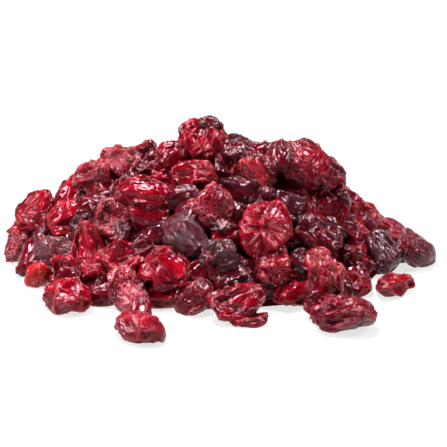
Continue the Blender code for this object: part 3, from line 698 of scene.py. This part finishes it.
def lay_fill(ground, rays, draw, number):
    """Lays berries where the heap is furthest below its smooth height, until it is full."""
    smooth = heap_height(ground.x[:, None], ground.y[None, :])
    foot = np.minimum(FOOT_SHARE * np.interp(ground.x, RIDGE_AT, RIDGE_HEIGHT), FOOT_HEIGHT)
    foot = np.where(ground.y > RIDGE_BACK, foot[:, None], 0)
    wanted = np.where((smooth > 0) & (ground.y > FILL_FROM), np.maximum(smooth, foot), 0)
    deeper = np.where(ground.y < FRONT_LINE, FRONT_DEEPER, 0)[None, :]
    rows, columns = len(ground.x) // FILL_PATCH, len(ground.y) // FILL_PATCH
    patches = (rows, FILL_PATCH, columns, FILL_PATCH)
    laid = []
    misses = np.zeros((rows, columns), dtype=int)
    while len(laid) < FILL_MOST:
        gap = np.where(wanted > 0, wanted - ground.height - deeper, 0)
        gap = gap[: rows * FILL_PATCH, : columns * FILL_PATCH].reshape(patches).mean(axis=(1, 3))
        gap[misses == FILL_TRIES] = 0
        if gap.max() < FILL_GAP:
            break
        row, column = np.unravel_index(gap.argmax(), gap.shape)
        half_patch = FILL_PATCH // 2
        x = ground.x[row * FILL_PATCH + half_patch] + draw.uniform(-FILL_STRAY, FILL_STRAY)
        y = ground.y[column * FILL_PATCH + half_patch] + draw.uniform(-FILL_STRAY, FILL_STRAY)
        berry = random_berry(draw, FILL_SHRINK ** misses[row, column])
        # Berries in the front gaps are darkened: painted shade.
        if y < FRONT_LINE:
            berry = berry._replace(tone=berry.tone * FRONT_GAP_SHADE)
        piece, points = drop(ground, rays, draw, berry, number + len(laid), x, y)
        proud = points[:, 2] + piece.centre[2] - wanted[ground.cells(points + piece.centre)]
        if np.percentile(proud, FILL_SHARE) > FILL_PROUD - deeper[0, column * FILL_PATCH]:
            misses[row, column] += 1
            continue
        ground.add(points, piece.centre)
        laid.append(piece)
    return laid


def touching_groups(shapes, faces):
    """Which group of touching shapes each one belongs to; the last shape is the core."""
    trees = [BVHTree.FromPolygons(points.tolist(), sides) for points, sides in zip(shapes, faces)]
    lows = np.array([points.min(axis=0) for points in shapes])
    highs = np.array([points.max(axis=0) for points in shapes])
    group = list(range(len(shapes)))
    for one in range(len(shapes)):
        near = ((lows <= highs[one]) & (highs >= lows[one])).all(axis=1)
        for other in np.flatnonzero(near):
            if other > one and group[other] != group[one] and trees[one].overlap(trees[other]):
                joined = group[other]
                group = [group[one] if member == joined else member for member in group]
    return np.array(group)


def gather(laid, rays, faces, core):
    """Moves each berry or group that touches nothing else until it presses into its neighbour."""
    shapes = [berry_points(rays, piece.berry, piece.number) @ piece.axes + piece.centre for piece in laid]
    shapes.append(np.array(core[0]))
    sides = [faces] * len(laid) + [core[1]]
    for _ in range(GATHER_PASSES):
        group = touching_groups(shapes, sides)
        loose = [member for member in np.unique(group) if member != group[-1]]
        if not loose:
            break
        members = np.flatnonzero(group == loose[0])
        others = np.flatnonzero(group == group[-1])
        merged_points = np.concatenate([shapes[other] for other in others])
        merged_sides = []
        first = 0
        for other in others:
            merged_sides += [tuple(first + corner for corner in side) for side in sides[other]]
            first += len(shapes[other])
        tree = BVHTree.FromPolygons(merged_points.tolist(), merged_sides)
        nearest = None
        for member in members:
            for point in shapes[member]:
                met, _, _, away = tree.find_nearest(point)
                if nearest is None or away < nearest[1]:
                    nearest = (np.array(met) - point, away)
        shift = nearest[0] * (1 + GATHER_PRESS / max(nearest[1], SMALLEST_GAP))
        for member in members:
            shapes[member] = shapes[member] + shift
            laid[member] = laid[member]._replace(centre=laid[member].centre + shift)
    return laid


def lay_heap():
    ground = Ground()
    draw = np.random.default_rng(SEED)
    rays = round_rays()
    laid = lay_front(ground, rays)
    laid += lay_foot(ground, rays, draw, len(laid))
    laid += lay_fill(ground, rays, draw, len(laid))
    few, faces = few_rays()
    return gather(laid, few * FEW_SIDES_GROWTH, faces, core_shape())


def core_shape():
    """The core: a closed mound of rings round the heap's middle, with a flat base on the table."""
    power = 2 / FOOT_SQUARENESS
    points = [(0.0, RIDGE_BACK, float(core_height(0.0, RIDGE_BACK)))]
    rim = []
    for ring in range(1, CORE_RINGS + 1):
        for spoke in range(CORE_SPOKES):
            turn = math.tau * spoke / CORE_SPOKES
            cos, sin = math.cos(turn), math.sin(turn)
            out = ring / CORE_RINGS
            half_length = (HEAP_LEFT if cos < 0 else HEAP_RIGHT) / CORE_SHORTER
            half_depth = (HEAP_FRONT if sin < 0 else HEAP_BACK) / CORE_NARROWER
            x = out * math.copysign(abs(cos) ** power, cos) * half_length
            y = RIDGE_BACK + out * math.copysign(abs(sin) ** power, sin) * half_depth
            points.append((x, y, max(float(core_height(x, y)), CORE_EDGE)))
            if ring == CORE_RINGS:
                rim.append((x, y, 0.0))
    first_rim = len(points)
    points += rim
    points.append((0.0, RIDGE_BACK, 0.0))
    faces = []
    for spoke in range(CORE_SPOKES):
        after = (spoke + 1) % CORE_SPOKES
        faces.append((0, 1 + spoke, 1 + after))
        for ring in range(CORE_RINGS):
            near = 1 + ring * CORE_SPOKES
            far = near + CORE_SPOKES
            faces.append((near + spoke, far + spoke, far + after))
            faces.append((near + spoke, far + after, near + after))
        faces.append((len(points) - 1, first_rim + after, first_rim + spoke))
    return points, faces


def opaque(colour):
    return (*colour, 1.0)


@lru_cache(maxsize=None)
def geodesic(steps):
    """A ball of triangles: each side of an icosahedron is cut into this many steps.

    The triangles are then drawn up towards the side that shows, without being stretched.
    """
    ball = bmesh.new()
    bmesh.ops.create_icosphere(ball, subdivisions=1, radius=1.0)
    bmesh.ops.subdivide_edges(ball, edges=ball.edges, cuts=steps - 1, use_grid_fill=True)
    bmesh.ops.triangulate(ball, faces=ball.faces)
    rays = np.array([vert.co for vert in ball.verts])
    faces = np.array([[vert.index for vert in face.verts] for face in ball.faces])
    ball.free()
    rays /= np.linalg.norm(rays, axis=1)[:, None]
    top, bottom = 1 + rays[:, 2], FRONT_DENSER**2 * (1 - rays[:, 2])
    rays[:, :2] *= (2 * FRONT_DENSER / (top + bottom))[:, None]
    rays[:, 2] = (top - bottom) / (top + bottom)
    return rays, faces


def skin_net(piece):
    """The directions and triangles of a berry's skin, as fine as its size and place ask."""
    spacing = FRONT_SPACING if piece.number < len(FRONT_BERRIES) else BACK_SPACING
    if piece.number >= UNDER_FIRST:
        spacing = UNDER_SPACING
    mean_radius = (piece.berry.length + 2 * piece.berry.width) / 6
    return geodesic(max(FEWEST_STEPS, round(mean_radius / spacing * BALL_SIDE)))


def waves(points, draw, count, pitch):
    """A sum of waves in random directions, roughly between -1 and 1."""
    directions = draw.normal(size=(count, 3))
    directions /= np.linalg.norm(directions, axis=1)[:, None]
    directions *= pitch * draw.uniform(*PITCH_RANGE, (count, 1))
    phase = points @ directions.T + draw.uniform(0, math.tau, count)
    return WAVE_HEIGHT * math.sqrt(count) * np.sin(phase).mean(axis=1)


def strayed(points, draw, reach, pitch):
    return points + reach * np.stack([waves(points, draw, STRAY_WAVES, pitch) for _ in range(3)], axis=1)


def creases(points, draw, count, sharpness):
    """Crests between hollows round random points: 1 on a crest, falling to 0."""
    middles = points[draw.choice(len(points), count, replace=False)]
    away = (points**2).sum(axis=1)[:, None] + (middles**2).sum(axis=1)[None] - 2 * points @ middles.T
    away = np.partition(away, 1, axis=1)
    hollow = math.pi * away[:, 0].mean()
    return (1 - np.clip((away[:, 1] - away[:, 0]) / (CREST_WIDTH * hollow), 0, 1)) ** sharpness


def outward(points, faces):
    """The unit direction square to the skin at each point."""
    sides = np.cross(points[faces[:, 1]] - points[faces[:, 0]], points[faces[:, 2]] - points[faces[:, 0]])
    out = np.zeros_like(points)
    for corner in range(3):
        np.add.at(out, faces[:, corner], sides)
    return out / np.maximum(np.linalg.norm(out, axis=1), SHORTEST)[:, None]


def grain_of(rays, pattern, draw):
    """Where each ray lies for the folds: drawn in along the way that the folds run."""
    if pattern == "star":
        out = np.hypot(rays[:, 0], rays[:, 1]) + SHORTEST_OUT
        star = (rays[:, 0] / out, rays[:, 1] / out, STAR_STRETCH * out * np.sign(rays[:, 2]))
        return np.stack(star, axis=1) + STAR_STRAY * rays
    stretch = LINE_STRETCH if pattern == "lines" else draw.uniform(*NET_STRETCH)
    return rays * (stretch, 1, 1)


def wrinkled(rays, faces, piece):
    """A berry's wrinkled skin in place, how high each point stands, and its place along the folds."""
    berry = piece.berry
    skin = SKINS[berry.form]
    draw = np.random.default_rng([SEED + 1, piece.number])
    size = (berry.length + berry.width) / 2
    points = berry_points(rays, berry, piece.number)
    grain = grain_of(rays, skin.pattern, draw)
    dents = round(skin.dents * (size / DENTED_SIZE) ** DENT_GROWTH * draw.uniform(*DENT_RANGE))
    dents = max(FEWEST_DENTS, dents)
    dent = creases(strayed(rays, draw, *DENT_STRAY), draw, dents, DENT_SHARPNESS) - DENT_LEVEL
    along = strayed(grain, draw, *FOLD_STRAY)
    fold = creases(along, draw, dents * FOLDS_PER_DENT, FOLD_SHARPNESS) - FOLD_LEVEL
    crease = creases(along, draw, dents * CREASES_PER_DENT, CREASE_SHARPNESS) - CREASE_LEVEL
    depth = MEAN_DEPTH + DEPTH_SWING * waves(rays, draw, PLAIN_WAVES, PLAIN_PITCH)
    relief = skin.sag * dent + np.clip(depth, PLAIN_DEPTH, 1) * (skin.fold * fold + skin.crease * crease)
    relief *= min(1.0, size / FULL_RELIEF_SIZE)
    points = points + outward(points, faces) * relief[:, None]
    low, high = np.percentile(relief, HOLLOW_TO_CREST)
    crest = np.clip((relief - low) / (high - low), 0, 1)
    return points @ piece.axes + piece.centre, crest, along * size / 2


def linked(name, data):
    thing = bpy.data.objects.new(name, data)
    bpy.context.scene.collection.objects.link(thing)
    return thing


def mesh_object(name, points, faces):
    mesh = bpy.data.meshes.new(name)
    mesh.from_pydata((np.array(points) * MM).tolist(), [], faces)
    return linked(name, mesh)


def build_kind(name, pieces, middle):
    """The skins of all berries of a kind as one piece, and what its material reads at each point."""
    points, faces, places = [], [], []
    looks = {look: [] for look in ("crest", "tone", *MARKED_SKINS)}
    first = 0
    for piece in pieces:
        rays, sides = skin_net(piece)
        skin, crest, place = wrinkled(rays, sides, piece)
        skin = skin - (middle[0], middle[1], 0)
        skin[:, 2] = np.maximum(skin[:, 2], 0)
        points.append(skin)
        faces.append(sides + first)
        places.append(place)
        looks["crest"].append(crest)
        looks["tone"].append(np.full(len(skin), piece.berry.tone))
        for look, marks in MARKED_SKINS.items():
            share = marks.get((piece.berry.across, piece.berry.up), 0.0)
            looks[look].append(np.full(len(skin), share))
        first += len(skin)
    thing = mesh_object(name, np.concatenate(points), np.concatenate(faces).tolist())
    for look, values in looks.items():
        layer = thing.data.attributes.new(look, "FLOAT", "POINT")
        layer.data.foreach_set("value", np.concatenate(values).astype(np.float32))
    layer = thing.data.attributes.new("along", "FLOAT_VECTOR", "POINT")
    layer.data.foreach_set("vector", np.concatenate(places).astype(np.float32).ravel())
    thing.data.shade_smooth()
    return thing


class Shade:
    """A socket's value in a material, so that shader maths reads as plain sums."""

    def __init__(self, tree, socket):
        self.tree = tree
        self.socket = socket

    def maths(self, operation, *values):
        return Maker(self.tree).node("ShaderNodeMath", {"operation": operation}, dict(enumerate(values)))

    def __add__(self, other):
        return self.maths("ADD", self, other)

    def __radd__(self, other):
        return self.maths("ADD", other, self)

    def __sub__(self, other):
        return self.maths("SUBTRACT", self, other)

    def __rsub__(self, other):
        return self.maths("SUBTRACT", other, self)

    def __mul__(self, other):
        return self.maths("MULTIPLY", self, other)

    def __rmul__(self, other):
        return self.maths("MULTIPLY", other, self)

    def at_least(self, floor):
        return self.maths("MAXIMUM", self, floor)

    def at_most(self, ceiling):
        return self.maths("MINIMUM", self, ceiling)

    def above(self, start, steepness):
        """0 up to the start, and rising from there."""
        return ((self - start) * steepness).at_least(0.0)

    def from_least(self, least, more):
        """The least where this value is 0, and so much more where it is 1."""
        return least + self * more

    def beside(self, output):
        """Another output of the node that this value comes from."""
        return Shade(self.tree, self.socket.node.outputs[output])


class Maker:
    """Makes the nodes of one material."""

    def __init__(self, tree):
        self.tree = tree

    def node(self, kind, settings=None, inputs=None, output=0):
        node = self.tree.nodes.new(kind)
        for name, value in (settings or {}).items():
            if name == "stops":
                self.set_stops(node.color_ramp, value)
            else:
                setattr(node, name, value)
        for name, value in (inputs or {}).items():
            self.feed(node.inputs[name], value)
        return Shade(self.tree, node.outputs[output])

    def set_stops(self, ramp, stops):
        while len(ramp.elements) < len(stops):
            ramp.elements.new(0.5)
        for element, (place, colour) in zip(ramp.elements, stops):
            element.position = place
            element.color = opaque(colour)

    def feed(self, socket, value):
        if isinstance(value, Shade):
            self.tree.links.new(value.socket, socket)
        else:
            socket.default_value = value

    def look(self, name, output="Fac"):
        """What the mesh says about a point under this name."""
        return self.node("ShaderNodeAttribute", {"attribute_name": name}, output=output)

    def noise(self, place, scale, detail):
        return self.node("ShaderNodeTexNoise", None, {"Vector": place, "Scale": scale, "Detail": detail})

    def vector_maths(self, operation, *values, output="Vector"):
        return self.node("ShaderNodeVectorMath", {"operation": operation}, dict(enumerate(values)), output)

    def mix(self, share, one, other):
        """A blend of two colours."""
        settings = {"data_type": "RGBA", "clamp_factor": True}
        inputs = {MIX_SHARE: share, MIX_ONE: one, MIX_OTHER: other}
        return self.node("ShaderNodeMix", settings, inputs, MIX_RESULT)

    def tinted(self, colour, share, tint):
        return self.mix(share, colour, opaque(tint))


def material_of(name, finish):
    """A material with the same finish all over."""
    material = bpy.data.materials.new(name)
    material.use_nodes = True
    shader = material.node_tree.nodes["Principled BSDF"]
    for socket, value in finish.items():
        shader.inputs[socket].default_value = value
    return material


# The fine pattern of a skin: the place along its folds, the same place sent astray, random specks, a
# net of wrinkles, facets, and how creased each part is.
Pattern = namedtuple("Pattern", "along bent specks wrinkle facet creased")


def skin_pattern(make):
    along = make.look("along", "Vector")
    specks = make.noise(along, *SPECKS)
    bent = make.vector_maths("MULTIPLY_ADD", specks.beside("Color"), (BENT, BENT, BENT), along)
    net = {"Vector": bent, "Scale": 1 / WRINKLE_SPACING}
    edge = make.node("ShaderNodeTexVoronoi", {"feature": "DISTANCE_TO_EDGE"}, net)
    wrinkle = (1.0 - edge * WRINKLE_SHARPNESS).at_least(0.0)
    facets = {"Vector": bent, "Scale": 1 / FACET_SPACING}
    facet = make.node("ShaderNodeTexVoronoi", {"feature": "F1"}, facets, "Position")
    creased = make.noise(along, *CREASED_PARTS).above(*CREASED_FROM).at_most(1.0)
    return Pattern(along, bent, specks, wrinkle, facet, creased)


def skin_colour(make, pattern):
    """Red or black by tone, with its own shade in each patch and facet, painted shade in the hollows and
    along the edges of facets, and painted highlights along the crests.
    """
    tone = make.look("tone")
    crest = make.look("crest")
    patch = make.noise(make.node("ShaderNodeTexCoord", output="Object"), *PATCHES)
    facet_shade = pattern.facet.beside("Color") - 0.5
    shade = (patch - 0.5) * PATCH_SHADES + facet_shade * FACET_SHADES
    ripeness = tone + shade * tone.from_least(*SHADES_BY_TONE)
    body = make.node("ShaderNodeValToRGB", {"stops": RIPENESS}, {"Fac": ripeness})
    # The hollows turn to a darker red: painted shade.
    colour = make.mix(crest, make.tinted(body, HOLLOW_SHADE_SHARE, HOLLOW_SHADE_RED), body)
    # Darker towards the edges of facets: painted shade in the creases between them.
    edge = pattern.facet.beside("Distance").above(*EDGE_SHADE_FROM) * pattern.creased.from_least(*EDGE_SHADE_BY_CREASED)
    colour = make.tinted(colour, edge, FACET_EDGE_SHADE)
    colour = make.tinted(colour, make.look("warm") * patch * WARM_SHARE, WARM_RED)
    # Broken pale lines along the wrinkles on the crests are painted highlights.
    broken = pattern.specks.above(*BROKEN_FROM).at_most(1.0)
    line = pattern.wrinkle.above(*GLINT_LINE_FROM).at_most(1.0) * broken * pattern.creased
    line = line * crest.from_least(*GLINT_LINE_BY_CREST) * tone.from_least(*GLINT_LINE_BY_TONE)
    colour = make.tinted(colour, line, GLINT_AND_BLOOM_PINK)
    # Pale bloom in specks on the crests: partly bloom, partly painted glints.
    bloom = make.look("bloom") * crest.from_least(*BLOOM_AND_GLINT_BY_CREST)
    bloom = bloom * make.noise(pattern.along, *GRAINS).above(*BLOOM_AND_GLINT_FROM)
    colour = make.tinted(colour, bloom, GLINT_AND_BLOOM_PINK)
    return make.tinted(colour, make.look("dusty") * patch.above(*DUST_FROM), DUSTY_PINK)


def skin_height(make, pattern):
    """The height of fine wrinkles, and of small flat facets that are each tilted their own way."""
    away = make.vector_maths("SUBTRACT", pattern.bent, pattern.facet)
    lean = make.vector_maths("SUBTRACT", pattern.facet.beside("Color"), (0.5, 0.5, 0.5))
    tilt = make.vector_maths("DOT_PRODUCT", away, lean, output="Value")
    wrinkle = pattern.wrinkle * WRINKLE_HEIGHT * pattern.creased
    return wrinkle + tilt * pattern.creased.from_least(*TILT_BY_CREASED)


def skin_material(kind):
    """The tough shiny skin of a kind of berry."""
    finish = {
        "IOR": SKIN_REFRACTION,
        "Specular Tint": opaque(kind.gleam),
        "Subsurface Weight": kind.glow,
        "Subsurface Radius": GLOW_REACH,
        "Subsurface Scale": GLOW_DEPTH,
    }
    material = material_of(kind.name, finish)
    shader = material.node_tree.nodes["Principled BSDF"]
    make = Maker(material.node_tree)
    pattern = skin_pattern(make)
    bump = {"Height": skin_height(make, pattern), "Distance": MM, "Strength": 1.0}
    make.feed(shader.inputs["Base Color"], skin_colour(make, pattern))
    make.feed(shader.inputs["Roughness"], make.look("dusty").from_least(*ROUGHNESS_BY_DUST))
    make.feed(shader.inputs["Normal"], make.node("ShaderNodeBump", None, bump))
    return material


def dress(thing, material):
    thing.data.materials.append(material)
    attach(thing, "root")
    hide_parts(NODE)


def lay_under():
    """Lays berries below the others, on the front half of the core."""
    ground = Ground()
    ground.height -= UNDER_DEPTH
    draw = np.random.default_rng(SEED + 2)
    rays = round_rays()
    laid = []
    for x in np.arange(-HEAP_LEFT, HEAP_RIGHT, UNDER_PITCH):
        for y in np.arange(RIDGE_BACK - HEAP_FRONT, RIDGE_BACK, UNDER_PITCH):
            if core_height(x, y) > 0:
                # Their dark tones are painted shade in the gaps.
                berry = random_berry(draw, 1.0)._replace(tone=draw.uniform(*UNDER_SHADE_TONE))
                laid.append(drop(ground, rays, draw, berry, UNDER_FIRST + len(laid), x, y)[0])
    return laid


def heap_middle(laid):
    """The middle of the solid heap's box, which is where the frame has its origin."""
    few, _ = few_rays()
    shapes = [berry_points(few * FEW_SIDES_GROWTH, piece.berry, piece.number) @ piece.axes + piece.centre
              for piece in laid]
    corners = np.concatenate(shapes)
    return (corners.min(axis=0) + corners.max(axis=0)) / 2


def build_berries(laid, middle):
    brightest = math.inf
    for kind in KINDS:
        pieces = [piece for piece in laid if kind.darkest <= piece.berry.tone < brightest]
        brightest = kind.darkest
        dress(build_kind(kind.name, pieces, middle), skin_material(kind))


def build_core(middle):
    points, faces = core_shape()
    points = np.array(points)
    points[:, :2] = (0, RIDGE_BACK) + CORE_SHARE * (points[:, :2] - (0, RIDGE_BACK))
    points -= (middle[0], middle[1], 0)
    finish = {"Base Color": opaque(CORE_RED), "Specular IOR Level": 0.0}
    dress(mesh_object("heap_core", points, faces), material_of("shadowed_berries", finish))


def build_table():
    corners = [(across * TABLE_REACH, deep * TABLE_REACH, 0) for across, deep in TABLE_CORNERS]
    table = mesh_object("table", corners, [(0, 1, 2, 3)])
    table.data.materials.append(material_of("white_table", TABLE_FINISH))


def build_light(light):
    lamp = bpy.data.lights.new(light.name, "AREA")
    lamp.shape = "RECTANGLE"
    lamp.size = light.size
    lamp.size_y = light.size
    lamp.energy = light.power
    thing = linked(light.name, lamp)
    thing.location = light.place
    thing.rotation_euler = (Vector(LIT_POINT) - Vector(light.place)).to_track_quat("-Z", "Y").to_euler()


def build_world():
    world = bpy.data.worlds.new("studio")
    world.use_nodes = True
    make = Maker(world.node_tree)
    direction = make.node("ShaderNodeTexCoord", output="Generated")
    rise = make.node("ShaderNodeSeparateXYZ", None, {"Vector": direction}, "Z")
    low = ((HAZE_TOP - rise) * HAZE_EDGE).at_least(0.0).at_most(1.0)
    sky = make.mix(low, opaque(STUDIO_DARK), opaque(STUDIO_PALE))
    make.feed(world.node_tree.nodes["Background"].inputs["Color"], sky)
    bpy.context.scene.world = world


def build_camera(middle):
    camera = bpy.data.cameras.new("camera")
    camera.lens = LENS
    camera.sensor_width = SENSOR_WIDTH
    thing = linked("camera", camera)
    thing.location = (EYE - (middle[0], middle[1], 0)) * MM
    thing.rotation_euler = (math.pi / 2 - EYE_RISE, 0, 0)
    bpy.context.scene.camera = thing
    bpy.context.scene.view_settings.view_transform = "Standard"


heap = lay_heap()
middle = heap_middle(heap)
build_berries(heap + lay_under(), middle)
build_core(middle)
build_table()
for light in LIGHTS:
    build_light(light)
build_world()
build_camera(middle)
